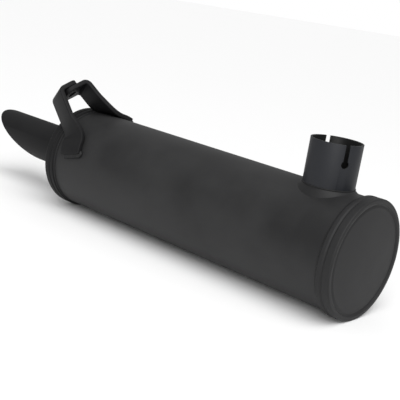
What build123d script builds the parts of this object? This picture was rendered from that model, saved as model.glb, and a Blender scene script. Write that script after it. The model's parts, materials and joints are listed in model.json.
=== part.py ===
from build123d import *
import os
from math import cos, radians, sin, tan

# Exhaust muffler with a side inlet, a hanger of two lapped straps and a slash-cut tail pipe.
# Millimetres. The origin is the centre of the inlet's mouth, +Z points out of the
# inlet, and +X points from the inlet towards the front cap. The body lies along X.

# ---- driving dimensions ----
stub_height = 39.0        # from the crown of the shell up to the inlet's mouth
front_reach = 48.6        # from the inlet's axis to the outer face of the front cap
body_length = 356.0       # outer face to outer face of the two caps
shell_radius = 50.0       # outer radius of the rolled shell
shell_sheet = 1.5         # shell sheet thickness

# end caps
rim_width = 12.5          # length of the cap's skirt over the shell
rim_height = 2.2          # how far the skirt stands proud of the shell
rim_round = 1.3           # rounding of the rim's outer edge
bead_valley = 1.0         # depth of the shallow groove round the skirt
bead_half = 1.3           # half the width of that groove
bead_place = 7.6          # from the cap's face to the middle of that groove
small_round = 0.9         # rounding of the cap's smaller pressed corners
ring_inset = 1.6          # from the shell's radius in to where the face turns down
ring_depth = 1.6          # depth of the ring pressed in the cap's face
ring_bottom_inset = 3.1   # from the shell's radius in to the bottom of that ring
plateau_inset = 5.4       # from the shell's radius in to the flat middle of the face
plateau_drop = 0.6        # how far the flat middle lies behind the rim
cap_sheet = 1.6           # cap sheet thickness

# inlet stub, a socket for a 41.3 mm header pipe
socket_radius = 20.65
stub_wall = 1.6
socket_depth = 36.0       # the header pipe stops here
stop_radius = 19.2        # bore below the stop
stub_inside = 20.0        # how far the stub reaches inside the shell
slot_width = 3.9
slot_hole_diameter = 6.5
slot_depth = 16.0         # from the mouth to the centre of the round end
near_slot_turn = -32.5    # direction of each slot about Z, in degrees
far_slot_turn = 144.0

# collar round the foot of the stub
collar_wall = 0.8
collar_height = 4.6       # above the crown of the shell
collar_flare = 4.2        # radius of the flare onto the shell
hole_gap = 0.3            # between the stub and the hole in the shell

# tail pipe
tail_radius = 21.6
tail_wall = 1.6
tail_inside = 38.0        # how far the tail pipe reaches in from the rear cap's face
tail_reach = 96.7         # from the rear cap's face to the middle of the slash cut
tail_cut_angle = 27.5     # between the cut and the pipe's axis, in degrees
tail_cut_turn = 20.0      # turn of the long side from the top towards -Y
tail_flange = 5.0         # length of the flange round the hole in the rear cap
flange_wall = 1.6

# hanger: two bent straps whose flanges lie on each other
strap_width = 26.0
strap_sheet = 4.8
strap_turn = 24.7         # turn of the hanger from the top towards -Y, in degrees
strap_lean = 42.6         # lean of the hanger towards the rear, in degrees
strap_setback = 27.12     # from the rear face to where the hanger's middle leaves the shell
strap_rise = 54.8         # from the shell up to the face where the two flanges meet
near_half = 16.3          # from the hanger's middle to the near strap's outer corner
far_half = 19.2           # from the hanger's middle to the far strap's outer corner
near_flange_end = 8.0     # where the near strap's flange ends, past the hanger's middle
far_flange_end = 11.6     # where the far strap's flange ends, past the hanger's middle
near_splay = 16.5         # splay of the leg on the -Y side, in degrees
far_splay = 2.8           # splay of the leg on the +Y side, in degrees
near_leg_rise = 31.4      # height above the shell where a leg starts to turn onto it
far_leg_rise = 35.4
strap_bend = 7.5          # outer radius of the top bends
flange_round = 9.0        # rounding of the corners at a flange's end, seen from above
foot_start = 38.0         # angle from the hanger's middle where a foot lies down
foot_end = 51.0           # angle where a foot ends
near_foot_inset = 35.9    # from the rear face to the middle of each foot
far_foot_inset = 29.0
near_foot_skew = 14.0     # skew of each foot on the shell, in degrees
far_foot_skew = 0.0
bolt_radius = 4.5         # hole for an M8 bolt
bed_depth = 0.4           # a foot starts this far below the shell and is trimmed to it

# inside the body
baffle_sheet = 1.5
baffle_flange = 8.0
baffle_collar = 6.0       # length of a baffle's collar on the core tube
window_radius = 7.0       # windows in the middle baffle
window_count = 6
front_baffle_inset = 90.6 # from the front face to the front baffle
rear_baffle_inset = 65.4  # from the rear face to the rear baffle
core_radius = 19.05
core_wall = 1.5
core_overhang = 12.0      # how far the core tube stands out of the outer baffles
perforation_radius = 2.5
perforation_pitch = 13.0
perforations_around = 8
wool_thickness = 3.0      # steel wool wrapped round the core tube

# weld beads
cap_weld_leg = 2.2
cap_weld_rise = 1.3
tail_weld_leg = 2.4
lip_weld_rise = 1.2       # bead on the collar's lip
lap_weld_radius = 2.8     # bead where the upper flange ends on the lower one
foot_weld_radius = 3.2
foot_weld_round = 2.8     # rounding of the ends of a foot's weld
foot_weld_extra = 3.0     # how far a foot's weld runs on past the foot
seam_weld_width = 5.0
seam_weld_height = 0.9
seam_turn = 115.0         # place of the shell's seam, from the top towards +Y

# ---- derived sizes ----
axis_drop = shell_radius + stub_height    # from the inlet's mouth down to the body's axis
front_face = front_reach
rear_face = front_reach - body_length
stub_radius = socket_radius + stub_wall
shell_inner = shell_radius - shell_sheet
rim_radius = shell_radius + rim_height
ring_outer = shell_radius - ring_inset
ring_bottom = shell_radius - ring_bottom_inset
plateau_radius = shell_radius - plateau_inset
plateau_back = plateau_drop + cap_sheet
cap_floor = ring_depth + cap_sheet        # from the rim's face to the end of the shell
shell_front = front_face - cap_floor
shell_rear = rear_face + cap_floor
collar_radius = stub_radius + collar_wall
collar_top = shell_radius + collar_height - axis_drop
flange_outer = tail_radius + flange_wall

body_axis = Axis((0, 0, -axis_drop), (1, 0, 0))
side_plane = Plane(origin=(0, 0, -axis_drop), x_dir=(1, 0, 0), z_dir=(0, -1, 0))


def cross_plane(station):
    """Plane across the body at one place along X."""
    return Plane(origin=(station, 0, -axis_drop), x_dir=(0, 1, 0), z_dir=(1, 0, 0))


def cap_points(face, inward):
    """Outer outline of a cap, from the skirt's free edge to the flat middle of its face."""
    outline = [
        (rim_width, shell_radius),
        (rim_width, rim_radius),
        (bead_place + bead_half, rim_radius),
        (bead_place, rim_radius - bead_valley),
        (bead_place - bead_half, rim_radius),
        (0, rim_radius),
        (0, ring_outer),
        (ring_depth, ring_bottom),
        (plateau_drop, plateau_radius),
    ]
    return [(face + inward * depth, radius) for depth, radius in outline]


cap_rounds = [small_round] * 4 + [rim_round] + [small_round] * 3

# ---- shell ----
with BuildPart() as shell:
    with BuildSketch(cross_plane(shell_rear)):
        Circle(shell_radius)
        Circle(shell_inner, mode=Mode.SUBTRACT)
    extrude(amount=shell_front - shell_rear)
    with BuildSketch(Plane.XY.offset(-axis_drop)):
        Circle(stub_radius + hole_gap)
    extrude(amount=axis_drop, mode=Mode.SUBTRACT)
shell.part.label = "shell"

# the lap seam's weld, a low bead along the shell on the far side
with BuildPart() as shell_seam_weld:
    with BuildSketch(cross_plane(shell_rear + rim_width)):
        with Locations((shell_radius * sin(radians(seam_turn)), shell_radius * cos(radians(seam_turn)))):
            Ellipse(seam_weld_width / 2, seam_weld_height, rotation=-seam_turn)
        Circle(shell_radius, mode=Mode.SUBTRACT)
    extrude(amount=shell_front - shell_rear - 2 * rim_width)
shell_seam_weld.part.label = "shell_seam_weld"

# ---- end caps ----
with BuildPart() as front_cap:
    with BuildSketch(side_plane):
        with BuildLine():
            outside = FilletPolyline(
                *cap_points(front_face, -1), (front_face - plateau_drop, 0), radius=cap_rounds
            )
            Polyline(
                outside @ 1,
                (front_face - plateau_back, 0),
                (front_face - plateau_back, plateau_radius),
                (shell_front, ring_bottom),
                (shell_front, shell_radius),
                outside @ 0,
            )
        make_face()
    revolve(axis=body_axis)
front_cap.part.label = "front_cap"

with BuildPart() as rear_cap:
    with BuildSketch(side_plane):
        with BuildLine():
            outside = FilletPolyline(
                *cap_points(rear_face, 1),
                (rear_face + plateau_drop, flange_outer),
                (rear_face - tail_flange, flange_outer),
                radius=cap_rounds + [small_round * 3],
            )
            Polyline(
                outside @ 1,
                (rear_face - tail_flange, tail_radius),
                (rear_face + plateau_back, tail_radius),
                (rear_face + plateau_back, plateau_radius),
                (shell_rear, ring_bottom),
                (shell_rear, shell_radius),
                outside @ 0,
            )
        make_face()
    revolve(axis=body_axis)
rear_cap.part.label = "rear_cap"


def ring_weld(name, place, radius, facing, leg, rise):
    """Quarter-round bead round the body's axis, in the corner at one place and radius."""
    with BuildPart() as bead:
        with BuildSketch(side_plane):
            with Locations((place, radius)):
                Ellipse(leg, rise)
            with Locations((place - facing * leg / 2, radius)):
                Rectangle(leg, 2 * rise, mode=Mode.SUBTRACT)
            with Locations((place, radius - rise / 2)):
                Rectangle(2 * leg, rise, mode=Mode.SUBTRACT)
        revolve(axis=body_axis)
    bead.part.label = name
    return bead


# fillet welds where each skirt ends on the shell
front_cap_weld = ring_weld(
    "front_cap_weld", front_face - rim_width, shell_radius, -1, cap_weld_leg, cap_weld_rise
)
rear_cap_weld = ring_weld(
    "rear_cap_weld", rear_face + rim_width, shell_radius, 1, cap_weld_leg, cap_weld_rise
)

# ---- inlet ----
stub_bottom = shell_radius - stub_inside - axis_drop
with BuildPart() as inlet_stub:
    with BuildSketch(Plane.XY.offset(stub_bottom)):
        Circle(stub_radius)
        Circle(stop_radius, mode=Mode.SUBTRACT)
    extrude(amount=-stub_bottom)
    with BuildSketch(Plane.XY.offset(-socket_depth)):
        Circle(socket_radius)
    extrude(amount=socket_depth, mode=Mode.SUBTRACT)
    # two keyhole slots, so that a clamp can close the socket
    for slot_turn in (radians(near_slot_turn), radians(far_slot_turn)):
        slot_direction = (cos(slot_turn), sin(slot_turn), 0)
        across = (-sin(slot_turn), cos(slot_turn), 0)
        with BuildSketch(Plane(origin=(0, 0, 0), x_dir=across, z_dir=slot_direction)):
            with Locations((0, -slot_depth)):
                Circle(slot_hole_diameter / 2)
            with Locations((0, -slot_depth / 2)):
                Rectangle(slot_width, slot_depth)
        extrude(amount=stub_radius * 2, mode=Mode.SUBTRACT)
inlet_stub.part.label = "inlet_stub"

with BuildPart() as inlet_collar:
    with BuildSketch(cross_plane(-collar_radius * 3)):
        Circle(shell_radius)
    extrude(amount=collar_radius * 6)
    with BuildSketch(Plane.XY.offset(-axis_drop)):
        Circle(collar_radius)
    extrude(amount=axis_drop + collar_top)
    # the curved edge where the collar meets the shell
    saddle = inlet_collar.edges().filter_by(
        lambda edge: edge.bounding_box().size.X > collar_radius * 1.9
        and edge.bounding_box().size.Z > 1
        and edge.bounding_box().size.X < collar_radius * 2.1
    )
    fillet(saddle, collar_flare)
    with BuildSketch(cross_plane(-collar_radius * 4)):
        Circle(shell_radius)
    extrude(amount=collar_radius * 8, mode=Mode.SUBTRACT)
    with BuildSketch(Plane.XY.offset(-axis_drop * 2)):
        Circle(stub_radius)
    extrude(amount=axis_drop * 3, mode=Mode.SUBTRACT)
inlet_collar.part.label = "inlet_collar"

# bead between the collar's lip and the stub
with BuildPart() as inlet_weld:
    with BuildSketch(Plane.XZ):
        with Locations((stub_radius, collar_top)):
            Ellipse(collar_wall, lip_weld_rise)
        with Locations((stub_radius / 2, collar_top)):
            Rectangle(stub_radius, 2 * lip_weld_rise, mode=Mode.SUBTRACT)
        with Locations((stub_radius, collar_top - lip_weld_rise / 2)):
            Rectangle(2 * collar_wall, lip_weld_rise, mode=Mode.SUBTRACT)
    revolve(axis=Axis.Z)
inlet_weld.part.label = "inlet_weld"

# ---- tail pipe ----
with BuildPart() as tail_pipe:
    with BuildSketch(cross_plane(rear_face + tail_inside)):
        Circle(tail_radius)
        Circle(tail_radius - tail_wall, mode=Mode.SUBTRACT)
    extrude(amount=-(tail_inside + tail_reach + 2 * tail_radius / tan(radians(tail_cut_angle))))
    # the slash cut leaves the long side at the top, turned a little towards -Y
    cut_height = (0, -sin(radians(tail_cut_turn)), cos(radians(tail_cut_turn)))
    cut_slant = radians(tail_cut_angle)
    cut_normal = Vector(-sin(cut_slant), 0, 0) - Vector(*cut_height) * cos(cut_slant)
    cut_plane = Plane(origin=(rear_face - tail_reach, 0, -axis_drop), z_dir=cut_normal)
    split(bisect_by=cut_plane, keep=Keep.BOTTOM)
tail_pipe.part.label = "tail_pipe"

tail_pipe_weld = ring_weld(
    "tail_pipe_weld", rear_face - tail_flange, tail_radius, -1, tail_weld_leg, flange_wall
)

# ---- hanger ----
turn = radians(strap_turn)
lean = radians(strap_lean)
along = Vector(1, 0, 0)
outward = Vector(0, -sin(turn), cos(turn))        # out of the body through the hanger
sideways = Vector(0, cos(turn), sin(turn))        # round the body, towards +Y
strap_up = outward * cos(lean) - along * sin(lean)
strap_across = along * cos(lean) + outward * sin(lean)
# the hanger leans, so a larger shell moves the foot of its plane forward
strap_inset = strap_setback + shell_radius * tan(lean)
strap_origin = Vector(rear_face + strap_inset, 0, -axis_drop)
strap_plane = Plane(origin=strap_origin, x_dir=sideways, z_dir=strap_across)
lap_height = shell_radius + strap_rise            # from the body's axis to where the flanges meet


def on_shell(side, station, skew, angle, height):
    """Plane across a foot's path on the shell: x along the foot's width, z along the path."""
    bend = radians(angle)
    rise = outward * cos(bend) + sideways * (side * sin(bend))
    wrap = sideways * (side * cos(bend)) - outward * sin(bend)
    travel = wrap * cos(radians(skew)) + along * sin(radians(skew))
    width = along * cos(radians(skew)) - wrap * sin(radians(skew))
    place = Vector(station, 0, -axis_drop) + rise * (shell_radius + height)
    return Plane(origin=place, x_dir=width, z_dir=travel)


def foot_drift(skew):
    """How far a skewed foot runs along the body from its start to its end."""
    return shell_radius * radians(foot_end - foot_start) * tan(radians(skew))


def bent_strap(name, side, splay, half, height, flange_end, leg_end, station, skew, cutters):
    """A strap with a flange under or on the other one, a splayed leg and a foot on the shell."""
    slant = radians(splay)
    corner = Vector(side * half, height)
    down = Vector(side * sin(slant), -cos(slant))
    inwards = Vector(-side * cos(slant), -sin(slant))
    leg_foot = corner + down * ((height - leg_end) / cos(slant))
    inner_corner = corner - Vector(side * tan((radians(90) - slant) / 2), 1) * strap_sheet
    with BuildPart() as strap:
        with BuildSketch(strap_plane):
            with BuildLine():
                outer = FilletPolyline(leg_foot, corner, (-side * flange_end, height), radius=strap_bend)
                inner = FilletPolyline(
                    (-side * flange_end, height - strap_sheet),
                    inner_corner,
                    leg_foot + inwards * strap_sheet,
                    radius=strap_bend - strap_sheet,
                )
                Line(outer @ 1, inner @ 0)
                Line(inner @ 1, outer @ 0)
            make_face()
        extrude(amount=strap_width / 2, both=True)
        # the corners at the flange's end, beyond the hanger's middle
        flange_face = Axis(strap_origin, sideways * -side)
        corners = strap.edges().filter_by(Axis(strap_origin, strap_up)).sort_by(flange_face)[-2:]
        fillet(corners, flange_round)
        # the foot turns from the leg's slanted section onto the round of the shell
        middle = leg_foot + inwards * (strap_sheet / 2)
        leg_middle = strap_origin + sideways * middle.X + strap_up * middle.Y
        leg_down = sideways * down.X + strap_up * down.Y
        with BuildSketch(Plane(origin=leg_middle, x_dir=strap_across, z_dir=leg_down)):
            Rectangle(strap_width, strap_sheet)
        for share in (0, 0.5, 1):
            angle = foot_start + (foot_end - foot_start) * share
            place = station + foot_drift(skew) * (share - 0.5)
            with BuildSketch(on_shell(side, place, skew, angle, (strap_sheet - bed_depth) / 2)):
                Rectangle(strap_width, strap_sheet + bed_depth)
        loft()
        # the bolt hole goes through the flange
        with BuildSketch(Plane(origin=strap_origin + strap_up * height, z_dir=strap_up)):
            Circle(bolt_radius)
        extrude(amount=-2 * strap_sheet, mode=Mode.SUBTRACT)
        # the foot is trimmed to the shell
        with BuildSketch(cross_plane(shell_rear)):
            Circle(shell_radius)
        extrude(amount=shell_front - shell_rear, mode=Mode.SUBTRACT)
        for cutter in cutters:
            add(cutter.part, mode=Mode.SUBTRACT)
    strap.part.label = name
    return strap


near_strap = bent_strap(
    "near_strap", -1, near_splay, near_half, lap_height + strap_sheet, near_flange_end,
    shell_radius + near_leg_rise, rear_face + near_foot_inset, near_foot_skew, [],
)
# the end of the far strap's flange is ground to fit inside the near strap's bend
far_strap = bent_strap(
    "far_strap", 1, far_splay, far_half, lap_height, far_flange_end,
    shell_radius + far_leg_rise, rear_face + far_foot_inset, far_foot_skew, [near_strap],
)


def foot_weld(name, side, station, skew, strap):
    """Bead along the squared end of a foot and a little past its front corner."""
    end = on_shell(side, station + foot_drift(skew) / 2, skew, foot_end, 0)
    start = end.origin - end.x_dir * (strap_width / 2)
    with BuildPart() as bead:
        with BuildSketch(Plane(origin=start, x_dir=end.z_dir, z_dir=end.x_dir)):
            Circle(foot_weld_radius)
        extrude(amount=strap_width + foot_weld_extra)
        fillet(bead.edges(), foot_weld_round)
        with BuildSketch(cross_plane(shell_rear)):
            Circle(shell_radius)
        extrude(amount=shell_front - shell_rear, mode=Mode.SUBTRACT)
        add(strap.part, mode=Mode.SUBTRACT)
    bead.part.label = name
    return bead


near_foot_weld = foot_weld(
    "near_foot_weld", -1, rear_face + near_foot_inset, near_foot_skew, near_strap
)
far_foot_weld = foot_weld(
    "far_foot_weld", 1, rear_face + far_foot_inset, far_foot_skew, far_strap
)

# a weld where the near strap's flange ends on the far strap's
with BuildPart() as lap_weld:
    with BuildSketch(strap_plane):
        with Locations((near_flange_end, lap_height)):
            Circle(lap_weld_radius)
        with Locations((near_flange_end - lap_weld_radius / 2, lap_height)):
            Rectangle(lap_weld_radius, 2 * lap_weld_radius, mode=Mode.SUBTRACT)
        with Locations((near_flange_end, lap_height - lap_weld_radius / 2)):
            Rectangle(2 * lap_weld_radius, lap_weld_radius, mode=Mode.SUBTRACT)
    extrude(amount=strap_width / 2 - lap_weld_radius, both=True)
lap_weld.part.label = "lap_weld"


# ---- inside the body ----
front_baffle_place = front_face - front_baffle_inset
rear_baffle_place = rear_face + rear_baffle_inset
middle_baffle_place = (front_baffle_place + rear_baffle_place) / 2
half_sheet = baffle_sheet / 2


def baffle_profile(place, facing):
    """Pressed disc with a flange on the shell and a collar on the core tube, in the active sketch."""
    with Locations((place, (shell_inner + core_radius) / 2)):
        Rectangle(baffle_sheet, shell_inner - core_radius)
    rim = place + facing * (baffle_flange - baffle_sheet) / 2
    with Locations((rim, shell_inner - baffle_sheet / 2)):
        Rectangle(baffle_flange, baffle_sheet)
    collar = place + facing * (baffle_collar - baffle_sheet) / 2
    with Locations((collar, core_radius + baffle_sheet / 2)):
        Rectangle(baffle_collar, baffle_sheet)


with BuildPart() as front_baffle:
    with BuildSketch(side_plane):
        baffle_profile(front_baffle_place, 1)
    revolve(axis=body_axis)
front_baffle.part.label = "front_baffle"

with BuildPart() as middle_baffle:
    with BuildSketch(side_plane):
        baffle_profile(middle_baffle_place, 1)
    revolve(axis=body_axis)
    # round windows that join the two packed chambers
    with BuildSketch(cross_plane(middle_baffle_place - baffle_sheet)):
        with PolarLocations((shell_inner + core_radius) / 2, window_count):
            Circle(window_radius)
    extrude(amount=2 * baffle_sheet, mode=Mode.SUBTRACT)
middle_baffle.part.label = "middle_baffle"

with BuildPart() as rear_baffle:
    with BuildSketch(side_plane):
        baffle_profile(rear_baffle_place, -1)
    revolve(axis=body_axis)
rear_baffle.part.label = "rear_baffle"

core_front = front_baffle_place + core_overhang
core_rear = rear_baffle_place - core_overhang
rows = int((front_baffle_place - rear_baffle_place - perforation_pitch) / perforation_pitch)
first_row = (front_baffle_place + rear_baffle_place - (rows - 1) * perforation_pitch) / 2
with BuildPart() as core_tube:
    with BuildSketch(cross_plane(core_rear)):
        Circle(core_radius)
        Circle(core_radius - core_wall, mode=Mode.SUBTRACT)
    extrude(amount=core_front - core_rear)
    # each row of holes is turned half a step from the one before it
    step = 360 / perforations_around
    drills = [
        Location((first_row + row * perforation_pitch, 0, -axis_drop), ((hole + row % 2 / 2) * step, 0, 0))
        for row in range(rows)
        for hole in range(perforations_around // 2)
    ]
    with Locations(*drills):
        Cylinder(perforation_radius, 2 * core_radius + core_wall, mode=Mode.SUBTRACT)
core_tube.part.label = "core_tube"

core_tube_weld = ring_weld(
    "core_tube_weld", front_baffle_place + baffle_collar - half_sheet, core_radius, 1,
    baffle_sheet, baffle_sheet,
)


def sleeve(name, ends, outer, inner):
    """Plain ring of loose material between two places along the body."""
    with BuildPart() as ring:
        with BuildSketch(cross_plane(ends[0])):
            Circle(outer)
            Circle(inner, mode=Mode.SUBTRACT)
        extrude(amount=ends[1] - ends[0])
    ring.part.label = name
    return ring


# steel wool lies on the core tube, and glass packing fills the space round it
wool_radius = core_radius + wool_thickness
packing_radius = shell_inner - baffle_sheet
wool_front_ends = (middle_baffle_place - half_sheet + baffle_collar, front_baffle_place - half_sheet)
packing_front_ends = (middle_baffle_place + half_sheet, front_baffle_place - half_sheet)
rear_ends = (rear_baffle_place + half_sheet, middle_baffle_place - half_sheet)
front_wool = sleeve("front_wool", wool_front_ends, wool_radius, core_radius)
rear_wool = sleeve("rear_wool", rear_ends, wool_radius, core_radius)
front_packing = sleeve("front_packing", packing_front_ends, packing_radius, wool_radius)
rear_packing = sleeve("rear_packing", rear_ends, packing_radius, wool_radius)

# ---- files ----
os.makedirs("parts", exist_ok=True)
for piece in (
    shell, shell_seam_weld, front_cap, rear_cap, front_cap_weld, rear_cap_weld,
    inlet_stub, inlet_collar, inlet_weld, tail_pipe, tail_pipe_weld,
    near_strap, far_strap, lap_weld, near_foot_weld, far_foot_weld,
    front_baffle, middle_baffle, rear_baffle, core_tube, core_tube_weld,
    front_wool, rear_wool, front_packing, rear_packing,
):
    export_step(piece.part, "parts/" + piece.part.label + ".step")
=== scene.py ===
import bmesh
import bpy
import json
import random
from math import cos, pi, radians, sin, tan
from mathutils import Matrix, Vector


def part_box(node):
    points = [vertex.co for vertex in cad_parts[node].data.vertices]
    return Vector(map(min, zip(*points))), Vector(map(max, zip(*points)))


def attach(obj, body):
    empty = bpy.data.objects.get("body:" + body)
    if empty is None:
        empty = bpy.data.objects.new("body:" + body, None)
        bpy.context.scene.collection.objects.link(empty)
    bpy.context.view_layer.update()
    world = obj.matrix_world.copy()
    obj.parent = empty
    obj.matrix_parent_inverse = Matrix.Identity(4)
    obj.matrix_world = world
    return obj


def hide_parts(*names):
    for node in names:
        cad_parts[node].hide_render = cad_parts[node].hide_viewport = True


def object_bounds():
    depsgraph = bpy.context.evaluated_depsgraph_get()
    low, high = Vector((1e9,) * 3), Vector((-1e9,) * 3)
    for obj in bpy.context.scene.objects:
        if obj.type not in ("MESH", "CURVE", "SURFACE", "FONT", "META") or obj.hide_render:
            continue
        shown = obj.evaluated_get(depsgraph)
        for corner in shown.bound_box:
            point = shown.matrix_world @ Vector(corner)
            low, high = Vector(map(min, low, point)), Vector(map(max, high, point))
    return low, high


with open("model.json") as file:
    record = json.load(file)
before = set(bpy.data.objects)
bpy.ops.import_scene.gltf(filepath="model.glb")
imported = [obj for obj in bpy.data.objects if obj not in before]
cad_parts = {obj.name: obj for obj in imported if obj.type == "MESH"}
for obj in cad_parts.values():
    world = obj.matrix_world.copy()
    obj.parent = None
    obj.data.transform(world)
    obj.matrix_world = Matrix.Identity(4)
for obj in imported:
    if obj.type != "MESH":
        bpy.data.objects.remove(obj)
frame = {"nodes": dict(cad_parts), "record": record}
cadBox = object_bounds()
nodes = frame["nodes"]
print("frame loaded:", len(nodes), "nodes")

# where things are, all read from the frame
shellLow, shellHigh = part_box("shell")
bodyRadius = (shellHigh.y - shellLow.y) / 2
axisHeight = shellHigh.z - bodyRadius  # height of the body's axis; the axis lies along X
bodyAxis = Vector((0, 0, axisHeight))
millimetre = 0.001
alongBody = Vector((1, 0, 0))
upright = Vector((0, 0, 1))


# shader groups, each built once and used by several materials
def newGroup(name, inputs, outputs):
    group = bpy.data.node_groups.new(name, "ShaderNodeTree")
    for socketName, socketType, value in inputs:
        socket = group.interface.new_socket(name=socketName, in_out="INPUT", socket_type=socketType)
        if value is not None:
            socket.default_value = value
    for socketName, socketType in outputs:
        group.interface.new_socket(name=socketName, in_out="OUTPUT", socket_type=socketType)
    return group, group.nodes.new("NodeGroupInput"), group.nodes.new("NodeGroupOutput")


def addNoise(tree, place, scale, detail, roughness):
    noise = tree.nodes.new("ShaderNodeTexNoise")
    noise.inputs["Detail"].default_value = detail
    noise.inputs["Roughness"].default_value = roughness
    tree.links.new(place, noise.inputs["Vector"])
    if isinstance(scale, (int, float)):
        noise.inputs["Scale"].default_value = scale
    else:
        tree.links.new(scale, noise.inputs["Scale"])
    return noise.outputs["Fac"]


def addMath(tree, operation, first, second):
    node = tree.nodes.new("ShaderNodeMath")
    node.operation = operation
    for socket, value in zip(node.inputs, (first, second)):
        if isinstance(value, (int, float)):
            socket.default_value = value
        else:
            tree.links.new(value, socket)
    return node.outputs[0]


def addRange(tree, value, low, high, newLow, newHigh):
    node = tree.nodes.new("ShaderNodeMapRange")
    for socket, number in zip(list(node.inputs)[1:5], (low, high, newLow, newHigh)):
        if isinstance(number, (int, float)):
            socket.default_value = number
        else:
            tree.links.new(number, socket)
    tree.links.new(value, node.inputs[0])
    return node.outputs[0]


def addMix(tree, share, first, second):
    node = tree.nodes.new("ShaderNodeMix")
    node.data_type = "RGBA"
    tree.links.new(share, node.inputs["Factor"])
    for socket, value in ((node.inputs["A"], first), (node.inputs["B"], second)):
        if isinstance(value, tuple):
            socket.default_value = value
        else:
            tree.links.new(value, socket)
    return node.outputs["Result"]


def makeSprayGroup():  # fine sprayed texture with slow patches of thicker and thinner paint
    group, given, result = newGroup(
        "sprayedPaint",
        [("Place", "NodeSocketVector", None), ("Thin", "NodeSocketColor", (0.017, 0.017, 0.0175, 1)),
         ("Thick", "NodeSocketColor", (0.011, 0.011, 0.0115, 1)), ("Grain Scale", "NodeSocketFloat", 2400.0),
         ("Patch Scale", "NodeSocketFloat", 14.0), ("Gloss Low", "NodeSocketFloat", 0.5),
         ("Gloss High", "NodeSocketFloat", 0.6)],
        [("Colour", "NodeSocketColor"), ("Roughness", "NodeSocketFloat"), ("Height", "NodeSocketFloat")])
    place = given.outputs["Place"]
    patches = addNoise(group, place, given.outputs["Patch Scale"], 3.0, 0.55)
    grain = addNoise(group, place, given.outputs["Grain Scale"], 2.0, 0.6)
    runs = addNoise(group, place, 260.0, 2.0, 0.5)  # slight orange peel under the grain
    patchShare = addRange(group, patches, 0.35, 0.68, 0.0, 1.0)
    grainShare = addMath(group, "MULTIPLY", addRange(group, grain, 0.55, 0.75, 0.0, 1.0), 0.5)
    share = addMath(group, "ADD", addMath(group, "MULTIPLY", patchShare, 0.7), grainShare)
    colour = addMix(group, share, given.outputs["Thick"], given.outputs["Thin"])
    gloss = addRange(group, patches, 0.3, 0.7, given.outputs["Gloss Low"], given.outputs["Gloss High"])
    height = addMath(group, "ADD", grain, addMath(group, "MULTIPLY", runs, 1.6))
    group.links.new(colour, result.inputs["Colour"])
    group.links.new(gloss, result.inputs["Roughness"])
    group.links.new(height, result.inputs["Height"])
    return group


def makeDustGroup():  # mask for fine dust that settles on what faces up
    group, given, result = newGroup(
        "settledDust",
        [("Place", "NodeSocketVector", None), ("Amount", "NodeSocketFloat", 0.2)],
        [("Mask", "NodeSocketFloat")])
    geometry = group.nodes.new("ShaderNodeNewGeometry")
    split = group.nodes.new("ShaderNodeSeparateXYZ")
    group.links.new(geometry.outputs["Normal"], split.inputs[0])
    facing = addRange(group, split.outputs["Z"], 0.35, 1.0, 0.0, 1.0)
    speck = addRange(group, addNoise(group, given.outputs["Place"], 900.0, 4.0, 0.7), 0.4, 0.75, 0.25, 1.0)
    cloud = addRange(group, addNoise(group, given.outputs["Place"], 22.0, 3.0, 0.6), 0.3, 0.7, 0.4, 1.0)
    mask = addMath(group, "MULTIPLY", addMath(group, "MULTIPLY", facing, speck), cloud)
    group.links.new(addMath(group, "MULTIPLY", mask, given.outputs["Amount"]), result.inputs["Mask"])
    return group


def makeRollGroup():  # fine lines left on sheet steel by rolling, along one direction
    group, given, result = newGroup(
        "rolledSteel",
        [("Place", "NodeSocketVector", None), ("Light", "NodeSocketColor", (0.46, 0.45, 0.44, 1)),
         ("Dark", "NodeSocketColor", (0.30, 0.29, 0.28, 1)), ("Stretch", "NodeSocketVector", (20, 900, 900))],
        [("Colour", "NodeSocketColor"), ("Roughness", "NodeSocketFloat"), ("Height", "NodeSocketFloat")])
    scaled = group.nodes.new("ShaderNodeVectorMath")
    scaled.operation = "MULTIPLY"
    group.links.new(given.outputs["Place"], scaled.inputs[0])
    group.links.new(given.outputs["Stretch"], scaled.inputs[1])
    lines = addNoise(group, scaled.outputs[0], 1.0, 3.0, 0.6)
    stain = addNoise(group, given.outputs["Place"], 30.0, 4.0, 0.6)
    stained = addRange(group, stain, 0.35, 0.7, 0.0, 1.0)
    colour = addMix(group, stained, given.outputs["Light"], given.outputs["Dark"])
    group.links.new(colour, result.inputs["Colour"])
    group.links.new(addRange(group, lines, 0.3, 0.7, 0.32, 0.55), result.inputs["Roughness"])
    group.links.new(lines, result.inputs["Height"])
    return group


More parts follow.
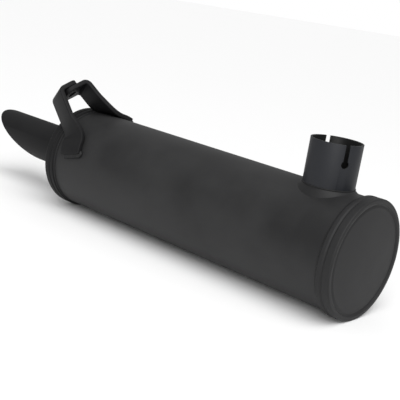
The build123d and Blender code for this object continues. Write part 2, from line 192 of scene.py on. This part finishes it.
def makeFibreGroup():  # tangled fibres, for wool and packing
    group, given, result = newGroup(
        "tangledFibre",
        [("Place", "NodeSocketVector", None), ("Light", "NodeSocketColor", (0.8, 0.77, 0.66, 1)),
         ("Dark", "NodeSocketColor", (0.5, 0.46, 0.36, 1)), ("Scale", "NodeSocketFloat", 380.0)],
        [("Colour", "NodeSocketColor"), ("Roughness", "NodeSocketFloat"), ("Height", "NodeSocketFloat")])
    bend = group.nodes.new("ShaderNodeTexNoise")
    bend.inputs["Scale"].default_value = 120.0
    group.links.new(given.outputs["Place"], bend.inputs["Vector"])
    mixed = group.nodes.new("ShaderNodeVectorMath")
    mixed.operation = "MULTIPLY_ADD"
    mixed.inputs[1].default_value = (0.02, 0.02, 0.02)
    group.links.new(bend.outputs["Color"], mixed.inputs[0])
    group.links.new(given.outputs["Place"], mixed.inputs[2])
    strands = group.nodes.new("ShaderNodeTexVoronoi")
    strands.feature = "DISTANCE_TO_EDGE"
    group.links.new(mixed.outputs[0], strands.inputs["Vector"])
    group.links.new(given.outputs["Scale"], strands.inputs["Scale"])
    tuft = addRange(group, strands.outputs["Distance"], 0.0, 0.12, 0.0, 1.0)
    colour = addMix(group, tuft, given.outputs["Light"], given.outputs["Dark"])
    group.links.new(colour, result.inputs["Colour"])
    group.links.new(addRange(group, tuft, 0.0, 1.0, 0.6, 0.9), result.inputs["Roughness"])
    group.links.new(addMath(group, "SUBTRACT", 1.0, tuft), result.inputs["Height"])
    return group


sprayGroup, dustGroup = makeSprayGroup(), makeDustGroup()
rollGroup, fibreGroup = makeRollGroup(), makeFibreGroup()


# materials: black paint of several coats, some copies darker as painted shade, bare steel, wool and packing
def startMaterial(name):
    material = bpy.data.materials.new(name)
    material.use_nodes = True
    tree = material.node_tree
    shader = tree.nodes["Principled BSDF"]
    place = tree.nodes.new("ShaderNodeTexCoord").outputs["Object"]
    return material, tree, shader, place


def placeGroup(tree, group, place, values):
    node = tree.nodes.new("ShaderNodeGroup")
    node.node_tree = group
    tree.links.new(place, node.inputs["Place"])
    for name, value in values.items():
        node.inputs[name].default_value = value
    return node


def addBump(tree, shader, height, strength, distance):
    bump = tree.nodes.new("ShaderNodeBump")
    bump.inputs["Strength"].default_value = strength
    bump.inputs["Distance"].default_value = distance
    tree.links.new(height, bump.inputs["Height"])
    tree.links.new(bump.outputs["Normal"], shader.inputs["Normal"])


def addVectorMath(tree, operation, first, second=None):
    node = tree.nodes.new("ShaderNodeVectorMath")
    node.operation = operation
    tree.links.new(first, node.inputs[0])
    if second is not None:
        node.inputs[1].default_value = second
    return node


def boreMask(tree, place, centre, across, radius):  # one inside a tube, none outside it
    fromAxis = addVectorMath(tree, "SUBTRACT", place, centre)
    flat = addVectorMath(tree, "MULTIPLY", fromAxis.outputs[0], across)
    reach = addVectorMath(tree, "LENGTH", flat.outputs[0])
    return addMath(tree, "LESS_THAN", reach.outputs["Value"], radius)


dustColour = (0.06, 0.06, 0.061, 1)
sootAndShadeColour = (0.0015, 0.0015, 0.0015, 1)  # soot and painted shade in the bores of the tubes
bumpDepth = {"paint": 0.00004, "steel": 0.00005, "fibre": 0.0004}
bumpStrength = {"steel": 0.4, "fibre": 0.8}


def makePaint(name, values, dust, strength, shine, bore=None):
    material, tree, shader, place = startMaterial(name)
    paint = placeGroup(tree, sprayGroup, place, values)
    mask = placeGroup(tree, dustGroup, place, {"Amount": dust})
    colour = addMix(tree, mask.outputs["Mask"], paint.outputs["Colour"], dustColour)
    if bore:
        # the bore is darkened inside the tube: soot and painted shade
        colour = addMix(tree, boreMask(tree, place, *bore), colour, sootAndShadeColour)
    tree.links.new(colour, shader.inputs["Base Color"])
    tree.links.new(paint.outputs["Roughness"], shader.inputs["Roughness"])
    shader.inputs["Specular IOR Level"].default_value = shine
    addBump(tree, shader, paint.outputs["Height"], strength, bumpDepth["paint"])
    return material


def makeSteel(name, stretch, light, dark):
    material, tree, shader, place = startMaterial(name)
    steel = placeGroup(tree, rollGroup, place, {"Stretch": stretch, "Light": light, "Dark": dark})
    tree.links.new(steel.outputs["Colour"], shader.inputs["Base Color"])
    tree.links.new(steel.outputs["Roughness"], shader.inputs["Roughness"])
    shader.inputs["Metallic"].default_value = 1.0
    addBump(tree, shader, steel.outputs["Height"], bumpStrength["steel"], bumpDepth["steel"])
    return material


def makeFibre(name, light, dark, scale, metallic):
    material, tree, shader, place = startMaterial(name)
    fibre = placeGroup(tree, fibreGroup, place, {"Light": light, "Dark": dark, "Scale": scale})
    tree.links.new(fibre.outputs["Colour"], shader.inputs["Base Color"])
    tree.links.new(fibre.outputs["Roughness"], shader.inputs["Roughness"])
    shader.inputs["Metallic"].default_value = metallic
    addBump(tree, shader, fibre.outputs["Height"], bumpStrength["fibre"], bumpDepth["fibre"])
    return material


def outerRadius(node):  # of a round node that lies or stands along an axis
    low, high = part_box(node)
    return (high.y - low.y) / 2


wallDepth = 0.0006  # from a tube's outside to the middle of its wall, where the paint turns to soot and painted shade


# name, paint values, dust, strength of the grain, shine, and the bore that gets soot and painted shade
bodyPaint = makePaint(
    "satinBlackBody",
    {"Thin": (0.026, 0.026, 0.0265, 1), "Thick": (0.009, 0.009, 0.0095, 1),
     "Gloss Low": 0.48, "Gloss High": 0.60},
    0.20, 0.5, 0.31)
pressedPaint = makePaint(
    "satinBlackPressedCaps", {"Patch Scale": 20.0, "Gloss Low": 0.52, "Gloss High": 0.62}, 0.2, 0.5, 0.26)
# darker paint with less shine than the pressed front cap: painted shade on the rear cap
shadedRearCapPaint = makePaint(
    "satinBlackRearCapPaintedShade",
    {"Patch Scale": 20.0, "Thin": (0.012, 0.012, 0.0125, 1), "Thick": (0.007, 0.007, 0.0075, 1)},
    0.15, 0.5, 0.14)
stubPaint = makePaint(
    "satinBlackInlet",
    {"Thin": (0.016, 0.017, 0.020, 1), "Thick": (0.010, 0.011, 0.014, 1),
     "Gloss Low": 0.42, "Gloss High": 0.52},
    0.1, 0.4, 0.27, ((0, 0, 0), (1, 1, 0), outerRadius("inlet_stub") - wallDepth))
# darker paint with little shine: painted shade on the hanger straps
shadedStrapPaint = makePaint(
    "satinBlackHangerPaintedShade",
    {"Thin": (0.011, 0.011, 0.0115, 1), "Thick": (0.007, 0.007, 0.0075, 1),
     "Gloss Low": 0.50, "Gloss High": 0.62},
    0.2, 0.6, 0.15)
# darker paint with little shine: painted shade on the tail pipe
shadedTailPaint = makePaint(
    "satinBlackTailPipePaintedShade",
    {"Patch Scale": 24.0, "Thin": (0.012, 0.012, 0.0125, 1), "Thick": (0.008, 0.008, 0.0085, 1)},
    0.15, 0.5, 0.11, (tuple(bodyAxis), (0, 1, 1), outerRadius("tail_pipe") - wallDepth))
weldPaint = makePaint(
    "satinBlackOverWeld", {"Grain Scale": 1500.0, "Gloss Low": 0.5, "Gloss High": 0.62}, 0.1, 0.9, 0.20)
baffleSteel = makeSteel("bareBaffleSteel", (300, 20, 900), (0.46, 0.45, 0.44, 1), (0.30, 0.29, 0.28, 1))
tubeSteel = makeSteel("bareTubeSteel", (20, 900, 900), (0.50, 0.49, 0.48, 1), (0.34, 0.33, 0.31, 1))
innerWeldSteel = makeSteel("heatTintedWeld", (500, 500, 500), (0.38, 0.34, 0.30, 1), (0.20, 0.20, 0.26, 1))
steelWool = makeFibre("steelWool", (0.42, 0.42, 0.43, 1), (0.12, 0.12, 0.12, 1), 900.0, 0.8)
glassPacking = makeFibre("glassPacking", (0.82, 0.79, 0.68, 1), (0.50, 0.46, 0.37, 1), 420.0, 0.0)
print("materials made")

finishes = {
    bodyPaint: ["shell", "shell_seam_weld"],
    pressedPaint: ["front_cap", "inlet_collar"],
    shadedRearCapPaint: ["rear_cap"],
    stubPaint: ["inlet_stub"],
    shadedTailPaint: ["tail_pipe"],
    shadedStrapPaint: ["near_strap", "far_strap"],
    weldPaint: ["front_cap_weld", "rear_cap_weld", "inlet_weld", "tail_pipe_weld", "lap_weld",
                "near_foot_weld", "far_foot_weld"],
    baffleSteel: ["front_baffle", "middle_baffle", "rear_baffle"],
    tubeSteel: ["core_tube"],
    innerWeldSteel: ["core_tube_weld"],
    steelWool: ["front_wool", "rear_wool"],
    glassPacking: ["front_packing", "rear_packing"],
}


def paintMesh(mesh, material):
    mesh.materials.clear()
    mesh.materials.append(material)


for material, names in finishes.items():
    for name in names:
        paintMesh(nodes[name].data, material)
print("finishes given to the frame's nodes")


# a piece gets its mesh and its material here, hides the frame's node it stands for, and hangs under the root
mergeReach = 0.000005  # points closer than this are one


def finishPiece(name, shape, material, node, smoothAngle):
    bmesh.ops.remove_doubles(shape, verts=shape.verts, dist=mergeReach)
    bmesh.ops.recalc_face_normals(shape, faces=shape.faces)
    mesh = bpy.data.meshes.new(name)
    shape.to_mesh(mesh)
    shape.free()
    for face in mesh.polygons:
        face.use_smooth = True
    mesh.set_sharp_from_angle(angle=radians(smoothAngle))
    mesh.materials.append(material)
    piece = bpy.data.objects.new(name, mesh)
    bpy.context.scene.collection.objects.link(piece)
    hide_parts(node)
    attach(piece, "root")


def carryRing(shape, ring, places, closed=False):  # skins a ring of edges through a list of places
    for before, after in zip(places, places[1:]):
        made = bmesh.ops.extrude_edge_only(shape, edges=ring)["geom"]
        fresh = {part for part in made if isinstance(part, bmesh.types.BMVert)}
        edges = [part for part in made if isinstance(part, bmesh.types.BMEdge)]
        ring = [edge for edge in edges if fresh.issuperset(edge.verts)]
        bmesh.ops.transform(shape, matrix=after @ before.inverted(), verts=list(fresh))
    if not closed:
        bmesh.ops.contextual_create(shape, geom=ring)


def placeMatrix(origin, xAxis, yAxis, zAxis):
    return Matrix.Translation(origin) @ Matrix((xAxis, yAxis, zAxis)).transposed().to_4x4()


def stretch(x, y):
    return Matrix.Diagonal((x, y, 1, 1))


# weld beads, each a row of overlapping ripples
bead = {"pitch": 0.0021, "ripple": (0.88, 0.97, 1.0, 0.985, 0.94), "wander": 0.035, "sides": 12,
        "ringSides": 10, "innerSides": 8, "taper": 4, "blunt": 0.08, "smooth": 80}
chance = random.Random(11)


# follow(share) gives the place, the three directions and the two half sizes at a share of the length
def makeBead(name, node, follow, length, sides, closed, slotName="black_paint_on_weld", material=weldPaint):
    ripples = max(3, round(length / bead["pitch"]))
    steps = len(bead["ripple"])
    count = ripples * steps
    places = []
    swell = 1.0
    for step in range(count + 1):
        if step % steps == 0:
            swell = 1 + chance.uniform(-bead["wander"], bead["wander"])
        size = swell * bead["ripple"][step % steps]
        if not closed:
            fromEnd = min(step, count - step) / (bead["taper"] * steps / 2)
            size *= sin(pi / 2 * min(1, bead["blunt"] + fromEnd)) if fromEnd < 1 else 1
        if closed and step == count:
            places.append(places[0])
            break
        origin, xAxis, yAxis, zAxis, width, height = follow(step / count)
        places.append(placeMatrix(origin, xAxis, yAxis, zAxis) @ stretch(width * size, height * size))
    shape = bmesh.new()
    bmesh.ops.create_circle(shape, segments=sides, radius=1, cap_ends=not closed)
    ring = list(shape.edges)
    bmesh.ops.transform(shape, matrix=places[0], verts=shape.verts)
    carryRing(shape, ring, places, closed)
    finishPiece(name, shape, material, node, bead["smooth"])


def aroundBody(station, radius, width, height):  # a path round the body's axis
    def follow(share):
        angle = 2 * pi * share
        outwards = Vector((0, cos(angle), sin(angle)))
        onwards = Vector((0, -sin(angle), cos(angle)))
        origin = bodyAxis + alongBody * station + outwards * radius
        return origin, alongBody, outwards, onwards, width, height
    return follow, 2 * pi * radius


def straightRun(start, end, outwards, width, height):  # a path from one point to another
    onwards = (end - start).normalized()
    across = outwards.cross(onwards).normalized()
    outwards = onwards.cross(across)

    def follow(share):
        return start.lerp(end, share), across, outwards, onwards, width, height
    return follow, (end - start).length


endShare = 0.12  # how much of a long node counts as one of its ends


def endsAlongX(node):  # the middles of a long node's two ends
    verts = nodes[node].data.vertices
    low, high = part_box(node)
    reach = endShare * (high.x - low.x)
    ends = []
    for edge in (low.x, high.x):
        near = [vert.co for vert in verts if abs(vert.co.x - edge) < reach]
        ends.append(sum(near, Vector()) / len(near))
    return ends


def ringBead(name, node, cornerSide, radius, sides, **finish):  # a bead in a corner round the body's axis
    low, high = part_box(node)
    corner = (low.x, high.x)[cornerSide]
    follow, length = aroundBody(corner, radius, high.x - low.x, outerRadius(node) - radius)
    makeBead(name, node, follow, length, sides, True, **finish)


ringBead("frontCapBead", "front_cap_weld", 1, bodyRadius, bead["ringSides"])
ringBead("rearCapBead", "rear_cap_weld", 0, bodyRadius, bead["ringSides"])
ringBead("tailPipeBead", "tail_pipe_weld", 1, outerRadius("tail_pipe"), bead["ringSides"])
ringBead("coreTubeBead", "core_tube_weld", 0, outerRadius("core_tube"), bead["innerSides"],
         slotName="bare_steel", material=innerWeldSteel)
print("ring welds made")


# the inlet's flared collar and the thin bead at its top
flare = {"rise": 0.0012, "width": 0.0033, "sunk": 0.0006, "inset": 0.0008, "lip": 0.0003, "hollow": 1.3,
         "turns": 96, "rows": 16, "hiddenRows": 4, "beadWidth": 0.0007, "beadRise": 0.0006, "smooth": 50}
stubRadius = outerRadius("inlet_stub")
flareTop = axisHeight + bodyRadius + flare["rise"]


def flarePoint(angle, share):  # share runs down the outside, under the shell and back up in the stub's wall
    rows = flare["rows"]
    row = share * rows
    outside = rows - flare["hiddenRows"]
    depth = 0.0
    lift = 0.0
    if row <= outside:
        along = row / outside
        reach = flare["width"] * along - flare["lip"] * (1 - along)
        lift = (1 - along) ** flare["hollow"]
    elif row < rows:
        inwards = max(0, row - outside - 1) / (flare["hiddenRows"] - 2)
        reach = flare["width"] - (flare["width"] + flare["inset"]) * inwards
        depth = flare["sunk"]
    else:
        reach = -flare["lip"]
        lift = 1.0
    radius = stubRadius + reach
    ground = axisHeight + (bodyRadius ** 2 - (radius * sin(angle)) ** 2) ** 0.5 - depth
    return Vector((radius * cos(angle), radius * sin(angle), ground + (flareTop - ground) * lift))


def makeFlare():
    shape = bmesh.new()
    bmesh.ops.create_grid(shape, x_segments=flare["turns"], y_segments=flare["rows"], size=0.5)
    for vert in shape.verts:
        vert.co = flarePoint(2 * pi * (vert.co.x + 0.5), round(vert.co.y + 0.5, 6))
    finishPiece("inletFlare", shape, pressedPaint, "inlet_collar", flare["smooth"])


def roundStub(share):
    angle = 2 * pi * share
    outwards = Vector((cos(angle), sin(angle), 0))
    onwards = Vector((-sin(angle), cos(angle), 0))
    place = outwards * stubRadius + upright * flareTop
    return place, outwards, upright, onwards, flare["beadWidth"], flare["beadRise"]


makeFlare()
makeBead("inletBead", "inlet_weld", roundStub, 2 * pi * stubRadius, bead["ringSides"], True)
print("inlet flare made")


# the hanger's two straps, each one sweep from its flange down to its foot
hangerMount = next(mount for mount in frame["record"]["mounts"] if mount["name"] == "hanger")
hangerMiddle = Vector(hangerMount["pos_m"])  # where the two flanges meet, on the bolt's line
hangerUp = Vector(hangerMount["axis"]).normalized()
hangerSide = hangerUp.cross(alongBody).normalized()  # towards the far strap
hangerAcross = hangerSide.cross(hangerUp)  # along the width of the straps
bodyOut = alongBody.cross(hangerSide)  # square out of the body, under the hanger
boltRadius = hangerMount["dims"]["r_mm"] * millimetre
straps = {
    "width": 0.026, "sheet": 0.0048, "bend": 0.0075, "corner": 0.0009, "flangeRound": 0.009,
    "footStart": 38, "footEnd": 51, "lift": 0.0001, "cornerSteps": 3, "pull": 1.05, "smooth": 35,
    "endSteps": 12, "bendSteps": 8, "legSteps": 3, "turnSteps": 17, "footSteps": 8,
    "near": {"side": -1, "splay": 16.5, "half": 0.0163, "stack": 1, "flangeEnd": 0.008, "legRise": 0.0314,
             "footPlace": 0.0359, "skew": 14},
    "far": {"side": 1, "splay": 2.8, "half": 0.0192, "stack": 0, "flangeEnd": 0.0105, "legRise": 0.0354,
            "footPlace": 0.0290, "skew": 0},
}
skirtWidth = 0.0125
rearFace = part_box("rear_cap")[1].x - skirtWidth  # the rear end of the shell
lapRise = hangerMiddle.y / hangerUp.y  # from the body's axis to where the flanges meet, along the hanger
hangerRoot = hangerMiddle - hangerUp * lapRise


def onShell(side, station, skew, angle, height):  # place and directions of a foot lying on the shell
    bend = radians(angle)
    rise = bodyOut * cos(bend) + hangerSide * (side * sin(bend))
    wrap = hangerSide * (side * cos(bend)) - bodyOut * sin(bend)
    travel = wrap * cos(radians(skew)) + alongBody * sin(radians(skew))
    width = alongBody * cos(radians(skew)) - wrap * sin(radians(skew))
    origin = bodyAxis + alongBody * station + rise * (bodyRadius + height)
    return origin, width, travel


def strapLine(spec):  # stations along a strap's middle: place, width direction, way along
    side, sheet = spec["side"], straps["sheet"]
    slant = radians(spec["splay"])
    height = lapRise + spec["stack"] * sheet - sheet / 2
    down = hangerSide * (side * sin(slant)) - hangerUp * cos(slant)
    toCorner = hangerSide * side
    cornerShift = sheet / 2 * tan((pi / 2 - slant) / 2)  # from the outer corner to the middle line's corner
    corner = hangerRoot + toCorner * (spec["half"] - cornerShift) + hangerUp * height
    start = hangerRoot - toCorner * spec["flangeEnd"] + hangerUp * height
    radius = straps["bend"] - sheet / 2
    turn = pi / 2 - slant
    setback = radius * tan(turn / 2)
    stations = []
    rounding = straps["flangeRound"]
    flatRun = (corner - start).length - setback
    endSteps = straps["endSteps"]
    for step in range(endSteps + 1):  # close together at the rounded end of the flange
        reach = rounding * (1 - cos(step / endSteps * pi / 2))
        stations.append((start + toCorner * reach, hangerAcross, toCorner))
    stations.append((start + toCorner * flatRun, hangerAcross, toCorner))
    centre = start + toCorner * flatRun - hangerUp * radius
    for step in range(1, straps["bendSteps"] + 1):
        angle = turn * step / straps["bendSteps"]
        place = centre + (hangerUp * cos(angle) + toCorner * sin(angle)) * radius
        stations.append((place, hangerAcross, toCorner * cos(angle) - hangerUp * sin(angle)))
    legStart = stations[-1][0]
    legLength = (height - bodyRadius - spec["legRise"]) / cos(slant) - setback
    for step in range(1, straps["legSteps"] + 1):
        stations.append((legStart + down * (legLength * step / straps["legSteps"]), hangerAcross, down))
    legFoot = stations[-1][0]
    footTurn = straps["footEnd"] - straps["footStart"]
    drift = bodyRadius * radians(footTurn) * tan(radians(spec["skew"]))
    station = rearFace + spec["footPlace"]

    def foot(share):
        angle = straps["footStart"] + footTurn * share
        return onShell(side, station + drift * (share - 0.5), spec["skew"], angle, sheet / 2 + straps["lift"])

    landing, landingWidth, landingWay = foot(0)
    pull = (landing - legFoot).length * straps["pull"]
    for step in range(1, straps["turnSteps"]):  # a smooth turn from the leg onto the shell
        t = step / straps["turnSteps"]
        place = (legFoot * (2 * t ** 3 - 3 * t ** 2 + 1) + down * (pull * (t ** 3 - 2 * t ** 2 + t))
                 + landing * (3 * t ** 2 - 2 * t ** 3) + landingWay * (pull * (t ** 3 - t ** 2)))
        slope = (legFoot * (6 * t ** 2 - 6 * t) + down * (pull * (3 * t ** 2 - 4 * t + 1))
                 + landing * (6 * t - 6 * t ** 2) + landingWay * (pull * (3 * t ** 2 - 2 * t)))
        ease = t * t * (3 - 2 * t)
        stations.append((place, hangerAcross.lerp(landingWidth, ease), slope.normalized()))
    for step in range(straps["footSteps"] + 1):
        stations.append(foot(step / straps["footSteps"]))
    return stations


strapTip = {  # the foot's last sections: how far on and narrower, in corners, and the share of the thickness
    "foot": ((0.6, 0.5, 0.9), (1.0, 1.6, 0.68)), "flangeStep": -0.5, "flange": (0.9, 0.72),
}
boltTool = {"segments": 48, "depth": 0.03}


def makeStrap(name, node, spec):
    stations = strapLine(spec)
    halfWidth, sheet = straps["width"] / 2, straps["sheet"]
    rounding, corner = straps["flangeRound"], straps["corner"]
    places = []
    start = stations[0][0]
    for place, width, way in stations:
        across = (width - way * width.dot(way)).normalized()
        outwards = way.cross(across)
        reach = (place - start).length
        half = halfWidth
        if reach < rounding:
            half -= rounding - (rounding ** 2 - (rounding - reach) ** 2) ** 0.5
        places.append(placeMatrix(place, across, outwards, way) @ stretch(half * 2, sheet))
    # softened edges at both ends: slightly smaller sections just outside the last full one
    first, last = places[0], places[-1]
    for onwards, narrower, thinner in strapTip["foot"]:
        step = Matrix.Translation(upright * (corner * onwards))
        places.append(last @ step @ stretch(1 - corner * narrower / halfWidth, thinner))
    back = Matrix.Translation(upright * (corner * strapTip["flangeStep"]))
    places.insert(0, first @ back @ stretch(*strapTip["flange"]))
    shape = bmesh.new()
    bmesh.ops.create_grid(shape, x_segments=1, y_segments=1, size=0.5)
    bmesh.ops.transform(shape, matrix=stretch(straps["width"], sheet), verts=shape.verts)
    bmesh.ops.bevel(shape, geom=shape.verts[:], offset=corner, offset_type="OFFSET", affect="VERTICES",
                    segments=straps["cornerSteps"], profile=0.5, material=-1)
    bmesh.ops.transform(shape, matrix=stretch(1 / straps["width"], 1 / sheet), verts=shape.verts)
    bmesh.ops.transform(shape, matrix=places[0], verts=shape.verts)
    carryRing(shape, [edge for edge in shape.edges if edge.is_boundary], places)
    bmesh.ops.recalc_face_normals(shape, faces=shape.faces)
    drillBolt(shape)
    finishPiece(name, shape, shadedStrapPaint, node, straps["smooth"])


def drillBolt(shape):  # cuts the bolt hole through a strap, with a boolean that is applied
    tool = bmesh.new()
    bmesh.ops.create_cone(tool, cap_ends=True, segments=boltTool["segments"], radius1=boltRadius,
                          radius2=boltRadius, depth=boltTool["depth"])
    onBolt = placeMatrix(hangerMiddle, hangerSide, hangerUp.cross(hangerSide), hangerUp)
    bmesh.ops.transform(tool, matrix=onBolt, verts=tool.verts)
    parts = []
    for label, source in (("strapBlank", shape), ("boltTool", tool)):
        mesh = bpy.data.meshes.new(label)
        source.to_mesh(mesh)
        holder = bpy.data.objects.new(label, mesh)
        bpy.context.scene.collection.objects.link(holder)
        parts.append(holder)
    blank, drill = parts
    cut = blank.modifiers.new("boltHole", "BOOLEAN")
    cut.operation = "DIFFERENCE"
    cut.solver = "EXACT"
    cut.object = drill
    bpy.context.view_layer.update()
    drilled = bpy.data.meshes.new_from_object(blank.evaluated_get(bpy.context.evaluated_depsgraph_get()))
    shape.clear()
    shape.from_mesh(drilled)
    for holder in parts:
        bpy.data.objects.remove(holder)
    tool.free()


makeStrap("nearStrap", "near_strap", straps["near"])
makeStrap("farStrap", "far_strap", straps["far"])
print("hanger straps made")


footBead = {"width": 0.0044, "height": 0.0023}
lapBead = {"place": 0.008, "halfRun": 0.0085, "size": 0.0024}
seamBead = {"width": 0.0022, "height": 0.0009, "sunk": 0.0002, "inset": 0.001}


def makeHangerWelds():
    for name, node in (("nearFootBead", "near_foot_weld"), ("farFootBead", "far_foot_weld")):
        start, end = endsAlongX(node)
        outwards = (start + end) / 2 - bodyAxis
        outwards.x = 0
        follow, length = straightRun(start, end, outwards.normalized(), footBead["width"], footBead["height"])
        makeBead(name, node, follow, length, bead["sides"], False)
    start = hangerMiddle + hangerSide * lapBead["place"] - hangerAcross * lapBead["halfRun"]
    follow, length = straightRun(
        start, start + hangerAcross * lapBead["halfRun"] * 2, hangerUp, lapBead["size"], lapBead["size"])
    makeBead("lapBead", "lap_weld", follow, length, bead["sides"], False)
    low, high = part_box("shell_seam_weld")
    middle = (low + high) / 2
    outwards = Vector((0, middle.y, middle.z - axisHeight)).normalized()
    line = bodyAxis + outwards * (bodyRadius - seamBead["sunk"])
    start = line + alongBody * (low.x + seamBead["inset"])
    end = line + alongBody * (high.x - seamBead["inset"])
    follow, length = straightRun(start, end, outwards, seamBead["width"], seamBead["height"])
    makeBead("shellSeamBead", "shell_seam_weld", follow, length, bead["ringSides"], False)


makeHangerWelds()
print("hanger and seam welds made")


# copies of the cut tubes and pressed caps with softened edges
softening = {"merge": 0.000002, "flat": 0.5, "sharp": 40, "segments": 2, "smooth": 30,
             "tube": 0.0003, "cap": 0.0008}


def softenedCopy(name, node, material, offset):
    shape = bmesh.new()
    shape.from_mesh(nodes[node].data)
    bmesh.ops.remove_doubles(shape, verts=shape.verts, dist=softening["merge"])
    bmesh.ops.dissolve_limit(
        shape, angle_limit=radians(softening["flat"]), verts=shape.verts, edges=shape.edges)
    steepest = radians(softening["sharp"])
    sharp = [edge for edge in shape.edges if len(edge.link_faces) == 2 and edge.calc_face_angle() > steepest]
    bmesh.ops.bevel(shape, geom=sharp, offset=offset, offset_type="OFFSET", affect="EDGES",
                    segments=softening["segments"], profile=0.5, material=-1, clamp_overlap=True)
    finishPiece(name, shape, material, node, softening["smooth"])


softenedCopy("inletStub", "inlet_stub", stubPaint, softening["tube"])
softenedCopy("tailPipe", "tail_pipe", shadedTailPaint, softening["tube"])
softenedCopy("frontCap", "front_cap", pressedPaint, softening["cap"])
softenedCopy("rearCap", "rear_cap", shadedRearCapPaint, softening["cap"])
print("tube ends and caps softened")


# camera, floor and lights
camera = {"place": (0.36033, -0.58540, 0.09764), "azimuth": 40.27, "elevation": 13.75, "roll": 9.28,
          "lens": 74.94, "sensor": 36.0, "nearest": 0.01, "furthest": 20}


def makeCamera(spec):
    data = bpy.data.cameras.new("camera")
    data.lens = spec["lens"]
    data.sensor_width = spec["sensor"]
    data.clip_start = spec["nearest"]
    data.clip_end = spec["furthest"]
    holder = bpy.data.objects.new("camera", data)
    turn = Matrix.Rotation(radians(spec["azimuth"]), 4, "Z")
    tilt = Matrix.Rotation(radians(90 - spec["elevation"]), 4, "X")
    roll = Matrix.Rotation(radians(spec["roll"]), 4, "Z")
    holder.matrix_world = Matrix.Translation(spec["place"]) @ turn @ tilt @ roll
    bpy.context.scene.collection.objects.link(holder)
    bpy.context.scene.camera = holder


makeCamera(camera)
studio = {"floorSize": 60.0, "floorShade": 0.92, "floorRoughness": 0.9, "floorShine": 0.1,
          "skyShade": 0.95, "skyStrength": 0.52}


def makeFloor(spec):
    mesh = bpy.data.meshes.new("floor")
    shape = bmesh.new()
    bmesh.ops.create_grid(shape, x_segments=1, y_segments=1, size=spec["floorSize"] / 2)
    bmesh.ops.translate(shape, verts=shape.verts, vec=(0, 0, cadBox[0].z))
    shape.to_mesh(mesh)
    shape.free()
    floor = bpy.data.objects.new("floor", mesh)
    bpy.context.scene.collection.objects.link(floor)
    material = bpy.data.materials.new("paleFloor")
    material.use_nodes = True
    shader = material.node_tree.nodes["Principled BSDF"]
    shade = spec["floorShade"]
    shader.inputs["Base Color"].default_value = (shade, shade, shade, 1)
    shader.inputs["Roughness"].default_value = spec["floorRoughness"]
    shader.inputs["Specular IOR Level"].default_value = spec["floorShine"]
    mesh.materials.append(material)


def makeSky(spec):  # a soft sky that lights the object, seen as plain white behind it
    world = bpy.data.worlds.new("studio")
    bpy.context.scene.world = world
    world.use_nodes = True
    tree = world.node_tree
    background = tree.nodes["Background"]
    shade = spec["skyShade"]
    background.inputs["Color"].default_value = (shade, shade, shade, 1)
    background.inputs["Strength"].default_value = spec["skyStrength"]
    backdrop = tree.nodes.new("ShaderNodeBackground")
    rays = tree.nodes.new("ShaderNodeLightPath")
    choice = tree.nodes.new("ShaderNodeMixShader")
    tree.links.new(rays.outputs["Is Camera Ray"], choice.inputs[0])
    tree.links.new(background.outputs[0], choice.inputs[1])
    tree.links.new(backdrop.outputs[0], choice.inputs[2])
    backdrop.inputs["Color"].default_value = (1, 1, 1, 1)
    tree.links.new(choice.outputs[0], tree.nodes["World Output"].inputs["Surface"])


softbox = {"place": (0.60, -0.95, 0.45), "aim": (0.0, 0.0, -0.08), "size": 0.7, "watts": 5.5}
sunlight = {"aimFrom": (0.75, -0.55, 1.6), "strength": 2.05, "softness": 55}


def makeSoftbox(spec):
    data = bpy.data.lights.new("frontSoftbox", "AREA")
    data.shape = "SQUARE"
    data.size = spec["size"]
    data.energy = spec["watts"]
    lamp = bpy.data.objects.new("frontSoftbox", data)
    toAim = Vector(spec["aim"]) - Vector(spec["place"])
    aimed = toAim.to_track_quat("-Z", "Y").to_matrix().to_4x4()
    lamp.matrix_world = Matrix.Translation(spec["place"]) @ aimed
    bpy.context.scene.collection.objects.link(lamp)


def makeSun(spec):
    data = bpy.data.lights.new("overheadLight", "SUN")
    data.energy = spec["strength"]
    data.angle = radians(spec["softness"])
    sun = bpy.data.objects.new("overheadLight", data)
    sun.matrix_world = (-Vector(spec["aimFrom"])).to_track_quat("-Z", "Y").to_matrix().to_4x4()
    bpy.context.scene.collection.objects.link(sun)


makeFloor(studio)
makeSky(studio)
makeSun(sunlight)
makeSoftbox(softbox)
bpy.context.scene.view_settings.view_transform = "Standard"
print("camera, floor and lights placed")
